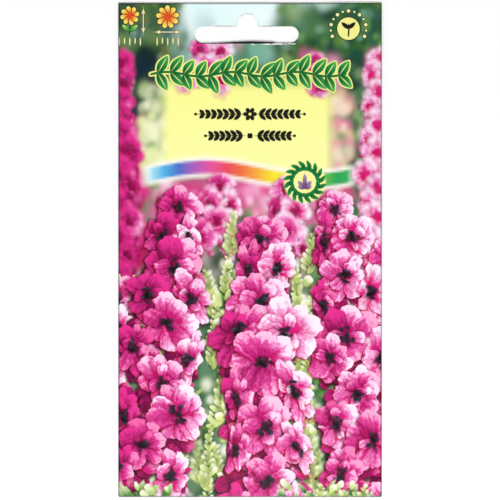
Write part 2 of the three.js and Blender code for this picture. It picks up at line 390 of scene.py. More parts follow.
def lay(faces):
    """Gives the faces the plate's shapes: the last ones that reach each face."""
    low = np.array([[vertices[f.vertices[:], axis].min() for axis in (0, 1)] for f in faces])
    high = np.array([[vertices[f.vertices[:], axis].max() for axis in (0, 1)] for f in faces])
    carried = [[] for _ in faces]
    for shape in plate:
        reach = hypot(shape[3], shape[4] * (1 + abs(shape[5]))) + SHADOW + shape[7] + shape[11]
        at = np.array(shape[:2])
        close = np.nonzero(((low < at + reach) & (high > at - reach)).all(axis=1))[0]
        if not len(close):
            continue
        # thin shapes are looked for more closely
        steps = (0, 0.5, 1) if shape[4] > THIN else (0, 0.25, 0.5, 0.75, 1)
        deep = np.array([depth(shape, *((1 - step) * low[close, axis] + step * high[close, axis]
                                        for axis, step in enumerate(point)))
                         for point in itertools.product(steps, steps)])
        near = deep.max(axis=0) > -max(SHADOW * (shape[7] > 0.05), shape[11]) - 1.2 * shape[7]
        full = deep.min(axis=0) > shape[11] + 1.4 * shape[7]
        for face, hides, on in zip(close[near], full[near], deep[len(deep) // 2][near] > 0):
            if hides:
                carried[face].clear()
            carried[face].append((shape, on))
    for face, shapes in zip(faces, carried):
        for shape, on in shapes[:-LAYERS]:
            if on:
                ground[face.index] = (*mix(shape[8:11], shape[12:15], 0.5), 1)
        for layer, (shape, _) in enumerate(shapes[-LAYERS:]):
            inked[layer, face.index] = shape


vertices = np.array([vertex.co[:] for vertex in mesh.vertices]) / MM
inked = np.zeros((LAYERS, len(mesh.polygons), 16))
inked[:] = (1000, 0, 0, 1, 1, 0, 2, 0, 0, 0, 0, 1, 0, 0, 0, 0)  # a shape far off the sheet
ground = np.zeros((len(mesh.polygons), 4))

# ------------ the front print
# A full bleed picture of pink garden flowers in front of a blurred garden, with a pale yellow
# label, a rainbow ribbon, a garland, a wreath and small picture marks printed over it.
rng = random.Random(21)
plate = []
between = rng.uniform


def shades(colours):
    """A row of hex colours as linear colours."""
    return [linear(colour) for colour in colours.split()]


SHADE, DEEP, MAGENTA, PINK, PALE, PETAL_WHITE = shades("#740444 #AA045C #E6208A #FF62BC #FFBCF4 #FFEEFD")
CHARCOAL, SLATE, CREAM, WHITE_BUD = shades("#26202C #544C62 #E4F09A #FDFEE0")
DARK_LEAF, LEAF, LIGHT_LEAF = shades("#0E4A2C #4E8A3A #B4D27C")
SUN = Vector((0.75, 0.66))

# The blurred garden: soft blobs of colour, blended on the sheet's vertices.
garden = np.tile([*linear("#5C8460"), 1.0], (len(vertices), 1))
sheet_x, sheet_y, _ = vertices.T


def tint(colour, weight):
    """Blends a colour, or one for each vertex, into the garden."""
    garden[:, :3] += (np.array(colour) - garden[:, :3]) * weight[:, None]


# how many, where (left, right, foot, top), their radii, their strength and their colours
BLOBS = (
    (230, (-42, 42, -20, 77), (2.5, 7), 0.8, "#16401F #2A5A34 #3F6E3F #64905A #8AAE76 #A9C48A #4E7F68"),
    (30, (-17, 8, 68, 78), (3, 5.5), 0.9, "#EAFFFE #DDFDFA #FFFFFF"),
    (10, (-24, -12, 58, 70), (2, 4), 0.6, "#7C98B4 #A8C4CC #C8E4E4"),
    (60, (8, 42, 54, 78), (1.5, 4.5), 0.88, "#1A4C2C #0E3424 #2A6A30 #568A34 #24584E"),
    (44, (-42, -20, 54, 78), (1.5, 4.5), 0.85, "#244A2C #123028 #46682C #6A8A46 #3A6470"),
    (24, (-30, 30, 6, 24), (2.5, 5), 0.8, "#E0589C #C4246E #E86CB0 #D82C7C"),
    (24, (-22, 30, -24, 8), (2, 5), 0.8, "#1F4A30 #3E7A44 #7F9A84 #C9A9B4"),
    (90, (-42, 42, -78, -2), (2, 4), 0.85, "#0E2A1C #1C4028 #2C5A34 #3E7A48"),
    (240, (-42, 42, -78, 4), (0.8, 2), 0.9, "#12321E #FDFAF0 #FFFFF4 #F4F8DC #B8D48A"),
    (70, (9, 42, 55, 78), (0.7, 1.9), 0.7, "#0C2A1C #12403A #2A6E34 #6EA04C #7CAC94 #628A34"),
    (5, (14, 28, 75, 78), (1.6, 3), 0.7, "#9CC4B4 #C8E4DC"),
    (60, (-42, -19, 55, 78), (0.7, 1.9), 0.65, "#123024 #1C4450 #527A3C #86A456 #8CB4A8 #7A6A44"),
    (14, (25, 34, 50, 62), (1.4, 3), 0.85, "#0E3038 #12382E #1C4A38"),
    (100, (-44, -31.5, -4, 42), (1.2, 3.2), 0.9, "#CE1470 #E63C92 #B00858 #EC6CAC #8A0848"),
    (30, (-44, -37, 40, 56), (1.2, 2.6), 0.85, "#D62078 #E8509C #C2085F"),
    (26, (-35.5, -29, 42, 60), (1.4, 3), 0.85, "#0E2838 #12342E #1C4430 #0C2226"),
    (90, (35, 43, 0, 56), (1, 2.6), 0.9, "#F49CCC #FAC8E2 #E65CA6 #D83C8C #FFF4FA #FFE0F0"),
    (10, (37, 42, 46, 62), (1.4, 2.4), 0.8, "#E86CA8 #F8B6D4"),
    (16, (-18, -4, 52, 62), (1.6, 3), 0.8, "#E45A9E #F08CBC #F6B4D2"),
    (12, (14, 27, 52, 59), (1.5, 2.6), 0.75, "#E45A9E #C94C8E #F0A0C4"),
    (70, (-33, -25, 20, 50), (1, 2.4), 0.8, "#E6F0A4 #7CA458 #FBFCD0 #3E7034 #FDFCD8"),
    (60, (29, 35, 18, 56), (1, 2.2), 0.85, "#0E3034 #1C4A38 #3E6E4A #7AA468 #123A2C"),
    (60, (25, 30, 19, 49), (1, 2.2), 0.8, "#F6CDB0 #E9A0A4 #E4D89A #FBE4CC #7A9E6A #E070A4"),
    (90, (-28, 30, 8, 21), (0.9, 2.4), 0.8, "#E8448E #F48AC4 #C21C6C #FBC4E0 #FFD8EE #E84C94"),
    (18, (-9, 5, 56, 62), (1.2, 3), 0.8, "#5E9A86 #7CB49C #2E6A50 #4E8A6A #9CCCBA"))
for count, (left, right, foot, top), radii, strength, colours in BLOBS:
    colours = shades(colours)
    for _ in range(count):
        x, y, radius, tall = between(left, right), between(foot, top), between(*radii), between(0.9, 1.5)
        colour = mix(rng.choice(colours), rng.choice(colours), rng.random())
        weight = ((sheet_x - x) / radius) ** 2 + ((sheet_y - y) / radius / tall) ** 2
        tint(colour, strength * np.exp(-weight ** 1.5))

# The label and its ribbon: a band that runs through the colours of the rainbow, on a white glow.
RIBBON_WIDE = 4.1
RAINBOW = shades("#BDEBFA #52B6EA #4A6ECC #B060BC #E656A0 #EE4A60 #F07444 #F8AE3C #F8EA34 #F6F032 #C8E038 "
                 "#6CC44A #2CA858 #3CB060")


def ribbon_y(x):
    return 23.1 + 2 * cos((x + 13.5) / 10)


def rainbow(t):
    t = min(0.9999, max(0, t)) * (len(RAINBOW) - 1)
    return mix(RAINBOW[int(t)], RAINBOW[int(t) + 1], t % 1)


def fade(values, start, end):
    """How far each value has come from start to end, between 0 and 1."""
    return np.clip((values - start) / (end - start), 0, 1)


above_band = sheet_y - np.array([ribbon_y(x) for x in sheet_x])
# the label, a pale yellow panel with feathered sides, which the ribbon closes at its foot
feather = (fade(sheet_x, -28, -24) * fade(sheet_x, 26.5, 22.5)
           * fade(above_band, -1, 1) * fade(sheet_y, 53, 48))
bright = fade(sheet_y, 30, 50)[:, None]
panel = np.array(linear("#FFFFA8")) * (1 - bright) + np.array(linear("#FFFF98")) * bright
tint(panel, feather * feather * (3 - 2 * feather))
# the glow and the ribbon itself
from_band, to_side = np.abs(above_band) - RIBBON_WIDE / 2, np.abs(sheet_x)
tint(linear("#FFFEF6"), fade(from_band, 1.8, 0.2) * fade(to_side, 34, 30))
tint([rainbow((x + 31) / 62) for x in sheet_x], fade(from_band, 0.4, -0.4) * fade(to_side, 32, 29.5))


def petal(x, y, along, across, base, tip, gleam, soft):
    """A petal from (x, y) along one vector, as wide as another."""
    width = abs(along.x * across.y - along.y * across.x) / along.length
    ink(x + along.x / 2, y + along.y / 2, atan2(along.y, along.x), along.length, width, base, tip,
        0.22, 1.9, 0.6 if soft < 0.3 else 0.22, gleam, soft)


def heading(turn):
    return Vector((cos(turn), sin(turn)))


def slimness(lean):
    """How wide a flower's face looks when it leans away, as part of its height."""
    return sqrt(1 - min(lean.length, 0.92) ** 2)


def leaning(v, lean):
    """A vector in a flower's face, foreshortened because the flower leans away."""
    axis = lean.normalized()
    return v - axis * (v.dot(axis) * (1 - slimness(lean)))


def petal_colours(light):
    base = mix(mix(SHADE, DEEP, 0.45 + light * 1.6), MAGENTA, light * 1.4 - 0.25)
    tip = mix(mix(MAGENTA, PINK, 0.14 + light * 2.1), PALE, light * 2 - 0.72)
    return base, mix(tip, PETAL_WHITE, light * 2.2 - 1.5)


def blossom(x, y, radius, lean, lit, soft=0.08, eye=CHARCOAL):
    """An open flower: a ring of broad petals, and a cluster of small dark ones at its eye."""
    slim = slimness(lean)
    ink(x - 0.05 * radius, y - 0.05 * radius, atan2(lean.y, lean.x), 1.64 * radius * slim, 1.64 * radius,
        SHADE, soft=0.2 * radius * slim)
    start = between(0, tau)
    for count, reach in ((rng.choice((7, 7, 8, 9)), 1), (rng.choice((0, 2, 3)), 0.62)):
        order = list(range(count))
        rng.shuffle(order)
        for i in order:
            turn = start + tau * i / count + between(-0.17, 0.17)
            size = radius * reach * between(0.84, 1.14)
            out = heading(turn)
            along = leaning(out * size, lean)
            across = leaning(Vector((-out.y, out.x)) * size * between(0.56, 0.8), lean)
            light = clamp(lit + 0.2 * along.dot(SUN) / radius - 0.2 * out.y + between(-0.27, 0.27))
            petal(x, y, along, across, *petal_colours(light), clamp(1.4 * light), soft)
    for _ in range(rng.choice((10, 11, 12))):
        turn = between(0, tau)
        out = leaning(heading(turn) * radius * between(0.02, 0.29), lean)
        ink(x + out.x, y + out.y, turn + rng.gauss(0, 0.8), radius * between(0.13, 0.25),
            radius * between(0.08, 0.15), eye, mix(eye, rng.choice((SLATE, DEEP)), rng.random()), -0.2,
            1.7, 0.3, soft=0.06 + soft)


def loose_petal(x, y, size, light, soft=0.12):
    """A petal of a flower that the others hide."""
    turn = between(0, tau)
    out = heading(turn) * size
    base = mix(SHADE, MAGENTA, light * 1.3 - 0.2)
    tip = mix(mix(DEEP, MAGENTA, 0.35 + light * 1.6), PALE, light * 1.8 - 0.8)
    petal(x - out.x / 2, y - out.y / 2, out, Vector((-out.y, out.x)) * 0.7, base, tip, 0.6 * light, soft)


def stem(x0, y0, x1, y1, girth, size, tone=0.0, soft=0.08):
    """A flower stem from its foot to its tip, crowded with blossoms."""
    path = Vector((x1 - x0, y1 - y0))
    away = Vector((path.y, -path.x)).normalized()  # to the stem's right
    spacing = size * 1.05
    rows = max(2, round(path.length / spacing))
    slim = [min(1, 0.4 + 0.6 * n * spacing / 32) + 0.4 * n * spacing / 95 for n in range(rows + 1)]
    for row, narrow in enumerate(slim):
        for _ in range(30):
            across, up = between(-1, 1), 1 - max(0, row + between(-0.7, 0.7)) / rows
            spot = Vector((x0, y0)) + path * up + away * across * girth * narrow
            light = 0.16 + 0.26 * across + tone + between(-0.35, 0.6)
            loose_petal(spot.x, spot.y, size * between(0.32, 0.62) * narrow, clamp(light), soft)
    for row, narrow in enumerate(slim):
        sway = between(-0.25, 0.25)
        for across in (-0.95, 0.95) if row % 2 and narrow > 0.5 else (sway,):
            across += between(-0.12, 0.12)
            up = 1 - (row + between(-0.2, 0.2)) / rows
            spot = Vector((x0, y0)) + path * up + away * across * girth * narrow * 0.82
            lean = away * across * 0.8 + Vector((between(-0.3, 0.3), between(-0.3, 0.4)))
            lit = 0.4 + 0.3 * across + tone + between(-0.2, 0.2)
            blossom(spot.x, spot.y, size * between(0.78, 1.06) * min(1.12, 0.46 + narrow), lean, lit, soft,
                    CHARCOAL if soft < 0.3 else mix(DEEP, MAGENTA, tone * 1.2))


def bud_spray(x, y, height, lean, soft):
    """A thin upright spray of pale green buds."""
    for n in range(round(height / 0.8)):
        up = n * 0.8
        swing = (-1) ** n * between(0.2, 1.9) * (1.15 - up / height)
        turn = pi / 2 - copysign(between(0.3, 1.0), swing)
        size = between(0.9, 1.9) * (1.2 - 0.6 * up / height)
        ink(x + lean * up + swing, y + up, turn, size * 1.9, size,
            mix(CREAM, DARK_LEAF, between(0.1, 0.6)), mix(CREAM, WHITE_BUD, rng.random()), 0.1, 1.9, 0.3,
            0.5, soft)


# leaves and buds between the stems, the far stems, sprays and buds in front of them, then the near stems
BLADE = {"taper": -0.25, "blunt": 1.5, "ruffle": 0.12, "gleam": 0.12}
for _ in range(120):
    shine = rng.random() ** 1.1
    ink_from(between(-42, 42), between(-80, -8), pi / 2 + rng.gauss(0, 0.8), between(5, 12),
             between(1, 2.8), mix(DARK_LEAF, LEAF, shine), mix(LEAF, LIGHT_LEAF, shine * between(0.3, 1)),
             soft=between(0.3, 0.9), **BLADE)
for _ in range(46):
    bud_spray(between(-40, 40), between(-80, -8), between(6, 14), between(-0.3, 0.3),
              between(0.3, 0.8))
for far_stem in ((-42, -34, -39.6, 56, 4.9, 5, -0.65, 0.8), (39.8, -20, 39.2, 58, 4.6, 4.6, 0.9, 0.8),
                 (-10, 3, -8, 20, 8, 5.4, 0.2, 0.6), (12, 1, 11, 18, 7, 5.4, 0.1, 0.6),
                 (-13, 52, -11, 64, 8, 4.4, 0.35, 0.8), (21, 50, 20, 57.5, 4.5, 4, 0.1, 0.8)):
    stem(*far_stem)
for spray in ((-13, -72, 20, 0.05), (-10, -52, 19, 0.1), (-12, -34, 18, 0.12), (-8, -16, 17, 0.1),
              (20, -76, 18, -0.1), (18, -58, 20, -0.04), (17, -40, 17, 0), (15, -24, 20, -0.06),
              (18, -6, 12, 0.1), (-40, -70, 14, 0.1), (39, -66, 16, 0), (-6, 0, 12, 0.1)):
    bud_spray(*spray, 0.16)
for x in (-10, 17, -40, 40):
    for _ in range(12):
        size = between(1.4, 3)
        ink(x + rng.gauss(0, 2.4), between(-74, -4), between(0.8, 2.4), size * 1.2, size,
            mix(CREAM, LEAF, between(0, 0.5)), WHITE_BUD, 0.1, 2.1, 0.25, 0.5, 0.2)
for near_stem in ((-56, -70, -41, -16, 7, 8.2, 0.06), (52, -46, 43, -2, 6, 8, 0.12),
                  (-34, -86, -21, 14, 8.4, 8.6, -0.08), (40, -86, 26, 11, 8.8, 8.6, 0.16),
                  (4.5, -88, 4, 2, 9.2, 9, 0.0)):
    stem(*near_stem)
# pale broad leaves, sprays and buds along the foot
for n in range(90):
    shine = min(1, n / 70 + between(-0.2, 0.2))
    ink_from(rng.choice((between(-42, -26), between(8, 42), between(18, 42))),
             between(-80, -74.5), pi / 2 + rng.gauss(0, 1.1), between(2.5, 6), between(1.2, 3.2),
             mix(DARK_LEAF, LEAF, shine), mix(LIGHT_LEAF, WHITE_BUD, between(0, 0.9) * shine), soft=0.2,
             **BLADE)
for spray in ((-14, -80, 9, 0.2), (21, -79, 8, 0.1), (34, -80, 9, 0.1)):
    bud_spray(*spray, 0.2)
for _ in range(9):
    size = between(1.2, 2.4)
    ink(rng.choice((between(-41, -20), between(6, 40))), between(-75, -71), between(0.4, 2.6),
        size * 1.9, size, mix(CREAM, LEAF, between(0.2, 0.6)), WHITE_BUD, 0.2, 1.9, 0.4, 0.4, 0.16)


def stroke(points, wide, colour):
    """A printed line through the points."""
    for (x, y), (u, v) in zip(points, points[1:]):
        length = hypot(u - x, v - y) + wide
        ink((x + u) / 2, (y + v) / 2, atan2(v - y, u - x), length, wide, colour, blunt=3.5)


# The garland along the top of the label: pairs of green leaves on a waving stalk, on a pale line.
GARLAND = [(-30 + 59 * n / 30, 53.4 + 0.7 * sin(n * 0.63)) for n in range(31)]
GARLAND_DARK, GARLAND_GREEN, OUTLINE = shades("#0B6A33 #36A653 #F3F58C")
sprigs = []
for n in range(1, 31, 2):
    for up in (1, -1):
        lean = 0.95 + 0.2 * sin(n * 1.7 + up)
        sprigs.append((*GARLAND[n], up * lean, 5.6 + 0.5 * sin(n * 2.3), 2.9))
for grow, base, tip in ((0.9, OUTLINE, OUTLINE), (0, GARLAND_DARK, GARLAND_GREEN)):
    stroke(GARLAND, 0.7 + grow, base)
    for x, y, turn, length, width in sprigs:
        ink_from(x, y, turn, length + grow, width + grow, base, tip, length / 2, taper=-0.18, blunt=1.6)
for x, y, turn, length, width in sprigs:
    ink_from(x, y, turn, length * 0.7, 0.28, OUTLINE, to_middle=length / 2)

# The label's ornament: two rows of small dark leaves that run outwards from a flower and a berry.
INK_BLACK = linear("#1C1A14")
SMALL_LEAF = {"taper": -0.15, "blunt": 1.7}


def laurel(middle, out, first, last, leaves, length, shorter, width, to_middle, colour, steep=0.72):
    """A row of pairs of small leaves that runs outwards to one side."""
    for n in range(leaves):
        x = out * (first + (last - first) * n / leaves)
        long = length - shorter * n
        for up in (-1, 1):
            turn = up * steep if out > 0 else pi - up * steep
            ink_from(x, middle, turn, long, width, colour, to_middle=to_middle or long / 2, **SMALL_LEAF)


for middle, half, leaves in ((41.2, 16.5, 7), (34.6, 13.5, 6)):
    for out in (-1, 1):
        stroke([(out * half * t, middle) for t in (0.14, 0.55, 0.97)], 0.36, INK_BLACK)
        laurel(middle, out, 0.17 * half, 0.95 * half, leaves, 2.7, 0.12, 1.25, None, INK_BLACK)
        dot(out * half, middle, 0.9, INK_BLACK)
for n in range(6):
    ink_from(0, 41.2, tau * n / 6, 1.9, 1.25, INK_BLACK, to_middle=1.15, taper=0.25)
dot(0, 41.2, 0.9, linear("#F6F17C"))
ink(0, 34.6, 0.8, 2, 2, INK_BLACK, blunt=1.2)

# The wreath on the ribbon: a ring of green leaves on a pale yellow disc, with a small sprig in it.
WREATH = (16.6, 20.6)
WREATH_DARK, WREATH_GREEN, SPRIG_DARK, SPRIG_VIOLET = shades("#0B6A33 #239548 #6E4A78 #A88AB4")
dot(*WREATH, 12.6, linear("#FBF79E"), soft=0.5)
for n in range(16):
    turn = tau * n / 16
    x, y = WREATH[0] + 4.5 * cos(turn), WREATH[1] + 4.5 * sin(turn)
    for tilt in (0.75, -0.55):
        ink_from(x, y, turn + pi / 2 - tilt, 2.9, 1.25, WREATH_DARK, WREATH_GREEN, 1.2, **SMALL_LEAF)
for turn, length in ((pi / 2, 4.4), (2.3, 3.0), (0.85, 3.0), (2.8, 2.2), (0.35, 2.2)):
    ink_from(WREATH[0], WREATH[1] - 2, turn, length, 1.3, SPRIG_DARK, SPRIG_VIOLET, taper=0.1, blunt=1.8)

# The marks at the top left: how tall the plant grows, and how wide its flower.
ORANGE, YELLOW, EYE_RED, CREAM_LINE = shades("#EF7A22 #FFEC72 #E8492C #F8EFB4")
BROWN_LINE, DARK_LINE, OLIVE_LINE, STALK = shades("#33200C #26301C #2C3A1C #1E5A24")
LEAF_LINE, MARK_GREEN, MARK_LIGHT, DISC_YELLOW, DOT_YELLOW = shades("#1E3A1A #3E9A3A #A8DC6A #F7F291 #F7F4B4")


def flower_mark(x, y, radius, petals):
    for n in range(petals):
        for grow, base, tip in ((0.5, BROWN_LINE, None), (0, ORANGE, YELLOW)):
            ink_from(x, y, tau * n / petals + 0.2, radius * 0.92 + grow, radius * 4 / petals + grow, base,
                     tip, radius * 0.6, taper=0.3)
    dot(x, y, radius * 0.55, EYE_RED)


def arrow_mark(x, y, turn, length):
    along = heading(turn)
    ends = [Vector((x, y)) + along * length / 2 * sign for sign in (-1, 1)]
    for wide, colour in ((0.7, DARK_LINE), (0.3, CREAM_LINE)):
        stroke([tuple(ends[0]), tuple(ends[1])], wide, colour)
        for end, sign in zip(ends, (-1, 1)):
            for tilt in (-0.45, 0, 0.45):
                back = heading(turn + tilt) * 0.95 * -sign
                stroke([tuple(end), tuple(end + back)], wide, colour)


stroke([(-36.6, 70), (-36.4, 67), (-36.7, 65.8)], 0.5, STALK)
for turn in (2.5, 0.6):
    for grow, base, tip in ((0.35, LEAF_LINE, None), (0, MARK_GREEN, MARK_LIGHT)):
        ink_from(-36.5, 66.6, turn, 2.9 + grow, 1.3 + grow, base, tip, 1.45, taper=-0.1, blunt=1.7)
flower_mark(-36.5, 71.2, 2.7, 8)
arrow_mark(-32.4, 69.6, pi / 2, 6.4)
arrow_mark(-25, 66.2, 0, 6.6)
flower_mark(-25, 70.8, 3.3, 9)
for x in (-36.5, -25):
    for n in range(5):
        stroke([(x - 3.2 + n * 1.6, 64.2), (x - 3.2 + n * 1.6, 62.9 - 0.5 * (n % 2 == 0))], 0.36, CREAM_LINE)

# The mark at the top right: a sprout on a pale yellow disc, under an arch of dots.
DISC = (29.9, 67.2)
dot(*DISC, 7.4, OLIVE_LINE)
dot(*DISC, 6.8, DISC_YELLOW)
stroke([(DISC[0], DISC[1] - 2.2), (DISC[0] + 0.1, DISC[1]), (DISC[0], DISC[1] + 1.2)], 0.5, INK_BLACK)
for turn in (0.7, 2.44):
    ink_from(DISC[0], DISC[1] + 0.1, turn, 2.9, 1.3, INK_BLACK, to_middle=1.3, taper=-0.1, blunt=1.7)
for n in range(13):
    turn = radians(205 - n * 19.2)
    x, y = DISC[0] + 5.4 * cos(turn), DISC[1] + 5.4 * sin(turn)
    dot(x, y, 1.5 - 0.4 * (n % 2), OLIVE_LINE)
    dot(x, y, 1.0 - 0.35 * (n % 2), DOT_YELLOW)

# A dark painted shadow along the slot's lower edge, where its lifted lip shades it, and bare fibres where the
# punch has torn the coating.
SLOT_SHADOW, FIBRE_WHITE = shades("#241C28 #FFFDFA")
for n in range(46):
    x = SLOT_X - 14.8 + 29.6 * n / 45
    turned = max(0, abs(x - SLOT_X) - 13.6)  # towards the slot's round ends
    ink(x, SLOT_FOOT + bulge(x) / 2 + 0.02 + 0.3 * turned ** 2, copysign(0.5 * turned, x - SLOT_X), 1.5,
        0.42 + 1.05 * bulge(x) - 0.1 * turned, SLOT_SHADOW, blunt=3)
for n in range(60):
    x = rng.gauss(8.5, 3.4) if n < 54 else between(0, 14)
    if abs(x - SLOT_X) < SLOT_WIDE / 2 - 1.2:
        below = 0.22 + 0.35 * bulge(x) + between(-0.06, 0.1)
        ink(x, SLOT_FOOT - below, between(-0.3, 0.3), between(0.4, 1.3), between(0.1, 0.3),
            FIBRE_WHITE, blunt=1.4)
# dark lines along the slot's upper edge and the top of the bay: painted shade at the cut edges
for start, end in ((-10.5, -5), (3.4, 11.5)):
    stroke([(start, SLOT_Y + SLOT_HIGH / 2), (end, SLOT_Y + SLOT_HIGH / 2)], 0.26, mix(SLOT_SHADOW, LEAF, 0.3))
stroke([(BAY_X - 1.6, BAY_Y + 3), (BAY_X - 0.2, BAY_Y + 3.36), (BAY_X + 1.2, BAY_Y + 3.2)], 0.22, SLATE)

lay([face for face in mesh.polygons if face.material_index == FRONT])

# ------------ the back print
# The back is cream with a few flat inks: a green header and foot, a laurel, a sowing calendar of
# twelve boxes, four picture marks, rules to write on, and a tinted panel. It is drawn as it reads.
plate = []
HEADER_GREEN, FOOT_GREEN, RULE_GREY, TINT, GOLD = shades("#2F8E4C #3B9A55 #A8A698 #EFF3CE #E7D24C")
SOW_GREEN, PLANT_YELLOW, FLOWER_PINK, BOX_WHITE = shades("#6DB35A #F2C84B #E25C9C #FFFEF8")
CHEVRON, BORDER_DARK, BORDER_LIGHT, BORDER_DOT = shades("#BFE3A4 #9FD68C #6DBB63 #F7E27A")
MARK_WHITE, WATER_DARK, WATER_LIGHT = shades("#FFFDF2 #3E8FD0 #8CC6EE")


def panel_of(x, y, wide, tall, colour, square=14):
    ink(x, y, 0, wide, tall, colour, blunt=square)


BANDS = (68, 18.4, HEADER_GREEN), (58.2, 0.7, GOLD), (-68, 15.6, FOOT_GREEN), (-59.8, 0.7, GOLD)
for y, tall, colour in BANDS:
    panel_of(0, y, 90, tall, colour, 60)
for out in (-1, 1):
    laurel(66, out, 20.5, 35.5, 5, 3.2, 0, 1.4, 1.4, CHEVRON, 0.8)
for n in range(13):
    ink(-36 + 6 * n, -68, pi / 2, 5, 1.9, BORDER_DARK, BORDER_LIGHT, -0.2, 1.6)
    dot(-33 + 6 * n, -68, 1.1, BORDER_DOT)
for middle, half, leaves in ((50.5, 22, 9), (44.6, 15, 6)):
    for out in (-1, 1):
        laurel(middle, out, 0.14 * half, 0.96 * half, leaves, 3.2, 0, 1.4, 1.5, HEADER_GREEN)
    ink(0, middle, pi / 4, 2.6, 2.6, FLOWER_PINK, blunt=1.3)

# The four picture marks: full sun, water, a seedling, and the space between two plants.
panel_of(0, 33, 72, 14, TINT)
for n in range(4):
    dot(-27 + 18 * n, 33, 11, HEADER_GREEN)
    dot(-27 + 18 * n, 33, 10, MARK_WHITE)
dot(-27, 33, 3.6, PLANT_YELLOW)
for n in range(8):
    ink_from(-27, 33, tau * n / 8, 1.6, 0.6, PLANT_YELLOW, to_middle=3.2)
ink(-9, 32.2, pi / 2, 5.4, 4.2, WATER_DARK, WATER_LIGHT, -0.75)
stroke([(9, 29.8), (9.1, 33.5)], 0.5, HEADER_GREEN)
for turn in (0.6, pi - 0.6):
    ink_from(9, 33.6, turn, 3.4, 1.6, SOW_GREEN, to_middle=1.5, **SMALL_LEAF)
for x in (24, 30):
    stroke([(x, 30.5), (x, 33.5)], 0.4, HEADER_GREEN)
    dot(x, 34.2, 2, FLOWER_PINK)
stroke([(24.9, 30.6), (29.1, 30.6)], 0.3, RULE_GREY)

# The sowing calendar: twelve boxes in three rows of colour, for sowing, planting out and flowering.
CALENDAR = (SOW_GREEN, (1, 2, 3)), (PLANT_YELLOW, (4, 5)), (FLOWER_PINK, (5, 6, 7, 8))
for row, (colour, months) in enumerate(CALENDAR):
    for month in range(12):
        x, y = -30.25 + 5.5 * month, 18.5 - 4.2 * row
        panel_of(x, y, 5.2, 3.9, RULE_GREY, 20)
        panel_of(x, y, 4.9, 3.6, colour if month in months else BOX_WHITE, 20)

# Rules to write on, and a tinted panel with a row of leaves between them and the foot.
for n in range(6):
    panel_of(0, 0.5 - 6.4 * n, 66, 0.28, RULE_GREY, 40)
panel_of(0, -46.5, 72, 16, TINT)
for n in range(9):
    for turn, length in ((0.5, 4.6), (2.64, 4.6), (pi / 2, 5.6)):
        ink_from(-28 + 7 * n, -50.5, turn, length, 1.7, HEADER_GREEN, SOW_GREEN, taper=-0.15, blunt=1.6)
    dot(-28 + 7 * n, -43.8, 2.2, FLOWER_PINK)
# it is seen from behind, so it is laid down mirrored
plate = [(-shape[0], shape[1], pi - shape[2], *shape[3:]) for shape in plate]
lay([face for face in mesh.polygons if face.material_index == BACK])

# A map of the flat print for surfaces that are copied onto a picture: the front on the left half,
# the back on the right half, and the bare inner side in a strip above them.
PRINT_SCALE = 0.006  # of the map's width for a millimetre
PRINT_Y, FRONT_AT, BACK_AT = 0.46, 0.25, 0.75  # the middles of the two prints on the map
STRIP_SCALE, STRIP_AT = (0.0118, 0.0004), (0.01, 0.93)  # the strip's, and its corner on the map
unfold = vertices.copy()
drop = FRONT_Z - vertices[:, 2]
side, foot = np.abs(vertices[:, 0]) > FOLD_X, vertices[:, 1] < FOOT_Y
unfold[side, 0] += np.sign(vertices[side, 0]) * drop[side]
unfold[foot, 1] -= drop[foot]
picture_map = mesh.uv_layers.new(name="OFBake")
for face in mesh.polygons:
    for corner in face.loop_indices:
        x, y, z = unfold[mesh.loops[corner].vertex_index]
        if face.material_index == FRONT:
            place = (FRONT_AT + x * PRINT_SCALE, PRINT_Y + y * PRINT_SCALE)
        elif face.material_index == BACK:
            place = (BACK_AT - x * PRINT_SCALE, PRINT_Y + y * PRINT_SCALE)
        else:
            place = (STRIP_AT[0] + (x + WIDTH / 2 + 1) * STRIP_SCALE[0],
                     STRIP_AT[1] + (y + HEIGHT / 2 + 1) * STRIP_SCALE[1])
        picture_map.data[corner].uv = place

# ------------ paper and ink
# The sheet is 120 micron white paper, coated on its printed side. The inks lie thin on it under a
# satin varnish, and its cut edges and its inner side show the bare fibres.
place_mm = np.hstack([vertices, np.ones((len(vertices), 1))])
PARTS = "place", "form", "base", "tip"  # of a shape, four numbers each
tables = [("print_mm", place_mm, "POINT"), ("garden", garden, "POINT"), ("ground", ground, "FACE")]
for layer, shapes in enumerate(inked):
    tables += [(f"{part}_{layer}", shapes[:, 4 * n:4 * n + 4], "FACE") for n, part in enumerate(PARTS)]
for name, table, domain in tables:
    attribute = mesh.attributes.new(name, "FLOAT_COLOR", domain)
    attribute.data.foreach_set("color", np.ascontiguousarray(table, dtype=np.float32).ravel())


def new_group(name, inputs, outputs):
    """An empty node group with the named sockets, and its own input and output nodes."""
    group = bpy.data.node_groups.new(name, "ShaderNodeTree")
    for sockets, in_out in ((inputs, "INPUT"), (outputs, "OUTPUT")):
        for socket, kind in sockets.items():
            group.interface.new_socket(socket, in_out=in_out, socket_type="NodeSocket" + kind)
    return group, group.nodes.new("NodeGroupInput").outputs


def end_group(group, results):
    """Links a group's results to its output."""
    for result, socket in zip(results, group.nodes.new("NodeGroupOutput").inputs):
        group.links.new(result, socket)


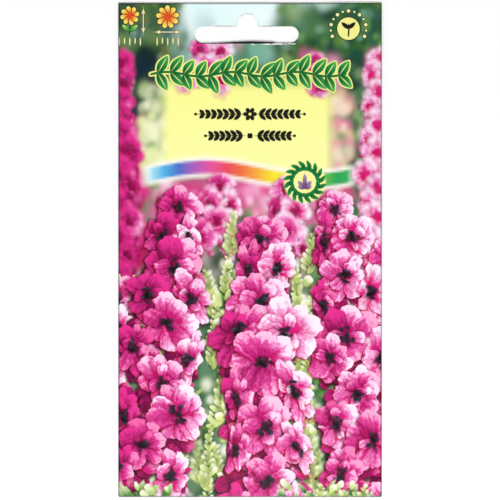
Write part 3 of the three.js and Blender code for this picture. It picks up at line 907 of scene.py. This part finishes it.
# Where a point lies on the print, in mm, and how far a ruffled edge wanders there.
WANDER, CRUMPLE = 1.6, 1.7
RUFFLES, CRUMPLES = 0.4, 0.9  # of them in a mm
HERE = dict.fromkeys(("X", "Y", "Wander X", "Wander Y", "Crumple"), "Float")
on_print, _ = new_group("place on the print", {}, HERE)
flat = node(on_print, "Attribute", attribute_name="print_mm").outputs["Color"]
ends = [*node(on_print, "SeparateXYZ", [flat]).outputs[:2]]
wander = node(on_print, "TexNoise", {
    "Vector": node(on_print, "TexCoord").outputs["Object"], "Scale": RUFFLES / MM},
    noise_dimensions="2D").outputs["Color"]
ends += [node(on_print, "Math", [axis, 2 * WANDER, -WANDER], "MULTIPLY_ADD").outputs[0]
         for axis in node(on_print, "SeparateXYZ", [wander]).outputs[:2]]
crumple = node(on_print, "TexNoise", {
    "Vector": node(on_print, "TexCoord").outputs["Object"], "Scale": CRUMPLES / MM, "Detail": 3.0,
    "Roughness": 0.65}, noise_dimensions="2D")
ends += node(on_print, "Math", [crumple, 2 * CRUMPLE, -CRUMPLE], "MULTIPLY_ADD").outputs[:1]
end_group(on_print, ends)

# The group that prints one shape over the colour beneath it.
stamp, given = new_group("inked shape", {
    "Beneath": "Color", **HERE, "Place": "Color", "Half length": "Float", "Form": "Color",
    "Ruffle": "Float", "Base": "Color", "Softness": "Float", "Tip": "Color", "Gleam": "Float"},
    {"Colour": "Color"})
ruffle = given["Ruffle"]
# where the point lies in the shape, from -1 to 1 along and across it
place = node(stamp, "SeparateXYZ", [given["Place"]]).outputs
form = node(stamp, "SeparateXYZ", [given["Form"]]).outputs
x, y = (node(stamp, "Math", [given[axis], middle], "SUBTRACT") for axis, middle in zip("XY", place))
cosine, sine = (node(stamp, "Math", [place[2]], wave) for wave in ("COSINE", "SINE"))
rise = node(stamp, "Math", [y, sine], "MULTIPLY")
lengthwise = node(stamp, "Math", [x, cosine, rise], "MULTIPLY_ADD")
lengthwise = node(stamp, "Math", [given["Wander X"], ruffle, lengthwise], "MULTIPLY_ADD")
lengthwise = node(stamp, "Math", [lengthwise, given["Half length"]], "DIVIDE")
rise, run = (node(stamp, "Math", pair, "MULTIPLY") for pair in ((y, cosine), (x, sine)))
across = node(stamp, "Math", [rise, run], "SUBTRACT")
across = node(stamp, "Math", [given["Wander Y"], ruffle, across], "MULTIPLY_ADD")
across = node(stamp, "Math", [across, form[0]], "DIVIDE")
spread = node(stamp, "Math", [lengthwise, form[1], 1], "MULTIPLY_ADD")
spread = node(stamp, "Math", [spread, 0.05], "MAXIMUM")
across = node(stamp, "Math", [across, spread], "DIVIDE")
# how deep inside the shape it lies, in mm
powers = []
for share in (lengthwise, across):
    share = node(stamp, "Math", [share], "ABSOLUTE")
    powers.append(node(stamp, "Math", [share, form[2]], "POWER"))
reach = node(stamp, "Math", powers, "ADD")
root = node(stamp, "Math", [1, form[2]], "DIVIDE")
reach = node(stamp, "Math", [reach, root], "POWER")
inside = node(stamp, "Math", [1, reach], "SUBTRACT")
deep = node(stamp, "Math", [inside, form[0]], "MULTIPLY")
# how far it lies towards the sun, from -1 to 1
sunward = node(stamp, "Math", [y, SUN.y], "MULTIPLY")
sunward = node(stamp, "Math", [x, SUN.x, sunward], "MULTIPLY_ADD")
sunward = node(stamp, "Math", [sunward, given["Half length"]], "DIVIDE")
# the shadow on what is beneath, on the side away from the sun
near = node(stamp, "MapRange", [deep, -SHADOW, 0.1], interpolation_type="SMOOTHSTEP")
shaded = node(stamp, "Math", [sunward, -0.85, 0.56], "MULTIPLY_ADD", use_clamp=True)
near = node(stamp, "Math", [near, shaded], "MULTIPLY")
natural = node(stamp, "Math", [ruffle, 2.2], "MULTIPLY", use_clamp=True)
near = node(stamp, "Math", [near, natural], "MULTIPLY")
beneath = node(stamp, "Mix", [near, given["Beneath"], given["Base"]], data_type="RGBA", blend_type="MULTIPLY")
# the colour along the shape, with veins, a sunlit side and a pale gleam
vein = node(stamp, "Math", [place[0], place[1]], "ADD")
vein = node(stamp, "Math", [across, 2.0, vein], "MULTIPLY_ADD")
vein = node(stamp, "Math", [given["Wander X"], 0.25, vein], "MULTIPLY_ADD")
vein = node(stamp, "TexNoise", {"W": vein, "Scale": 1.0, "Roughness": 0.6}, noise_dimensions="1D")
vein = node(stamp, "Math", [vein, 0.5], "SUBTRACT")
strength = node(stamp, "Math", [ruffle, 2.4], "MULTIPLY")
vein = node(stamp, "Math", [vein, strength], "MULTIPLY")
along = node(stamp, "MapRange", [lengthwise, -0.48, 0.8])
along = node(stamp, "Math", [along, vein], "ADD")
sunlit = node(stamp, "Math", [sunward, 1.5, given["Crumple"]], "MULTIPLY_ADD")
strength = node(stamp, "Math", [ruffle, 0.5], "MULTIPLY")
sunlit = node(stamp, "Math", [sunlit, strength], "MULTIPLY")
along = node(stamp, "Math", [along, sunlit], "ADD")
colour = node(stamp, "Mix", [along, given["Base"], given["Tip"]], data_type="RGBA")
gleam = node(stamp, "MapRange", [along, 0.66, 1.1])
gleam = node(stamp, "Math", [gleam, given["Gleam"]], "MULTIPLY")
colour = node(stamp, "Mix", [gleam, colour, (1, 0.87, 1, 1)], data_type="RGBA")
outside = node(stamp, "Math", [given["Softness"], -1], "MULTIPLY")
cover = node(stamp, "MapRange", [deep, outside, given["Softness"]], interpolation_type="SMOOTHSTEP")
printed = node(stamp, "Mix", [cover, beneath, colour], data_type="RGBA")
end_group(stamp, printed.outputs[2:3])


def printed_colour(tree, beneath):
    """The chain of inked shapes over a ground colour."""
    here = node(tree, "Group", node_tree=on_print).outputs
    covered = node(tree, "Attribute", attribute_name="ground").outputs
    colour = node(tree, "Mix", [covered["Alpha"], beneath, covered["Color"]], data_type="RGBA")
    for layer in range(LAYERS):
        inputs = [colour, *here]
        for part in PARTS:
            carried = node(tree, "Attribute", attribute_name=f"{part}_{layer}").outputs
            inputs += [carried["Color"], carried["Alpha"]]
        colour = node(tree, "Group", inputs, node_tree=stamp)
    return colour


def shade_and_wear_at_edges(tree, colour):
    """Darkens a thin line along the sheet's folded and cut edges: painted shade where they turn away from the
    light, and partly worn, dirty ink.
    """
    here = node(tree, "Group", node_tree=on_print).outputs
    x, y = (node(tree, "Math", [axis], "ABSOLUTE") for axis in here[:2])
    x = node(tree, "Math", [WIDTH / 2, x], "SUBTRACT")
    y = node(tree, "Math", [HEIGHT / 2, y], "SUBTRACT")
    edge = node(tree, "Math", [x, y], "MINIMUM")
    edge = node(tree, "MapRange", [edge, *EDGE_SHADE_AND_WEAR])
    edge_darkening = node(tree, "ValToRGB", [edge], stops=[(0, "#8E9094"), (1, "#FFFFFF")])
    return node(tree, "Mix", [1.0, colour, edge_darkening], data_type="RGBA", blend_type="MULTIPLY")


EDGE_SHADE_AND_WEAR = 0.12, 0.5  # how far from an edge the painted shade and wear are full, and where they end
# Clumps of fibres and cloudy patches in a mm. Single fibres are ten times finer and wouldn't show.
FIBRES, MOTTLES = 3.2, 0.35
for finish, (_, tree, object_place) in enumerate(finishes):
    fibres = node(tree, "TexNoise", {
        "Vector": object_place, "Scale": FIBRES / MM, "Detail": 3.0, "Roughness": 0.7})
    if finish == BARE:
        colour = node(tree, "ValToRGB", [fibres], stops=[(0.3, "#E9E7E1"), (0.7, "#FBFAF6")])
    else:
        if finish == FRONT:
            ground_ink = node(tree, "Attribute", attribute_name="garden")
        else:
            mottle = node(tree, "TexNoise", {"Vector": object_place, "Scale": MOTTLES / MM, "Detail": 3.0})
            ground_ink = node(tree, "ValToRGB", [mottle], stops=[(0.3, "#F8F4DC"), (0.7, "#FBF9E8")])
        # painted shade, with some worn ink, along the folded and cut edges
        colour = shade_and_wear_at_edges(tree, printed_colour(tree, ground_ink))
        speckle = node(tree, "ValToRGB", [fibres], stops=[(0.3, "#F9F9F9"), (0.6, "#FFFFFF")])
        colour = node(tree, "Mix", [1.0, colour, speckle], data_type="RGBA", blend_type="MULTIPLY")
    matt = (0.38, 0.48) if finish == FRONT else (0.5, 0.75)
    rough_paper = node(tree, "MapRange", [fibres, 0.3, 0.7, *matt])
    bump = node(tree, "Bump", {
        "Strength": 0.3 if finish == BARE else 0.12, "Distance": 0.02 * MM, "Height": fibres})
    paper = node(tree, "BsdfPrincipled", {
        "Base Color": colour, "Roughness": rough_paper, "Normal": bump, "Specular IOR Level": 0.05,
        "Coat Weight": 0.0 if finish == BARE else 0.12, "Coat Roughness": 0.28, "Coat Normal": bump})
    node(tree, "OutputMaterial", [paper])

# ------------ the glue films
# Thin films of white dispersion glue, laid by roller between the plies at the side seam, the foot
# flap and the header. The frame's solids have their true shape, so they keep it.


def finish_of(names, material):
    """Gives carried-over pieces a material."""
    for name in names:
        piece = bpy.data.objects[name]
        piece.data.materials.clear()
        piece.data.materials.append(material)


# Dried dispersion glue: cloudy, yellowish and half glossy, with small bubbles.
CLOUDS, BUBBLES = 0.3, 1.4  # of them in a mm: a bubble is up to 0.7 mm wide
glue, tree, object_place = new_material("dried dispersion glue")
cloud = node(tree, "TexNoise", {"Vector": object_place, "Scale": CLOUDS / MM, "Detail": 3.0})
bubbles = node(tree, "TexVoronoi", {"Vector": object_place, "Scale": BUBBLES / MM})
bump = node(tree, "Bump", {"Strength": 0.4, "Distance": 0.03 * MM, "Height": bubbles})
film = node(tree, "BsdfPrincipled", {
    "Base Color": node(tree, "ValToRGB", [cloud], stops=[(0.3, "#E6DDBE"), (0.7, "#F4EFD8")]),
    "Roughness": node(tree, "MapRange", [cloud, 0.3, 0.7, 0.3, 0.5]), "Normal": bump})
node(tree, "OutputMaterial", [film])
finish_of(("side_seam_glue", "foot_flap_glue", "header_glue", "header_glue_over_flap"), glue)

# ------------ the seed sachet
# A small pouch folded from one strip of glassine, a paper calendered until it is smooth, dense and
# nearly clear. Fine fibres and the marks of the rollers show in it.
STRANDS, ROLLER_MARKS = 0.9, 1.2  # of them in a mm, and coarser than real ones so that they show
glassine, tree, object_place = new_material("glassine, calendered paper")
fibre_cloud = node(tree, "TexNoise", {"Vector": object_place, "Scale": STRANDS / MM, "Detail": 4.0,
                                      "Roughness": 0.7})
stretched = node(tree, "Mapping", {"Vector": object_place, "Scale": (1, 0.08, 1)})
rollers = node(tree, "TexNoise", {"Vector": stretched, "Scale": ROLLER_MARKS / MM})
bump = node(tree, "Bump", {"Strength": 0.2, "Distance": 0.02 * MM, "Height": rollers})
sachet_paper = node(tree, "BsdfPrincipled", {
    "Base Color": node(tree, "ValToRGB", [fibre_cloud], stops=[(0.3, "#DCD6C2"), (0.7, "#F1EDDF")]),
    "Roughness": node(tree, "MapRange", [rollers, 0.3, 0.7, 0.22, 0.34]), "Normal": bump})
node(tree, "OutputMaterial", [sachet_paper])
finish_of(("seed_sachet",), glassine)

# ------------ the seeds
# Small, dull, dark brown seeds with a finely wrinkled coat and paler ridges.
SEEDS = 20
WRINKLES = 2.6  # of them in a mm, about five along a seed
seed_coat, tree, object_place = new_material("wrinkled seed coat")
wrinkles = node(tree, "TexNoise", {"Vector": object_place, "Scale": WRINKLES / MM, "Detail": 4.0,
                                   "Roughness": 0.6, "Distortion": 1.2})
bump = node(tree, "Bump", {"Strength": 0.8, "Distance": 0.08 * MM, "Height": wrinkles})
ridges = node(tree, "ValToRGB", [wrinkles], stops=[(0.35, "#221812"), (0.55, "#3E2E22"), (0.72, "#6E5640")])
coat = node(tree, "BsdfPrincipled", {
    "Base Color": ridges,
    "Roughness": node(tree, "MapRange", [wrinkles, 0.3, 0.7, 0.9, 0.65]), "Normal": bump})
node(tree, "OutputMaterial", [coat])
finish_of([f"seed_{n:02d}" for n in range(1, SEEDS + 1)], seed_coat)
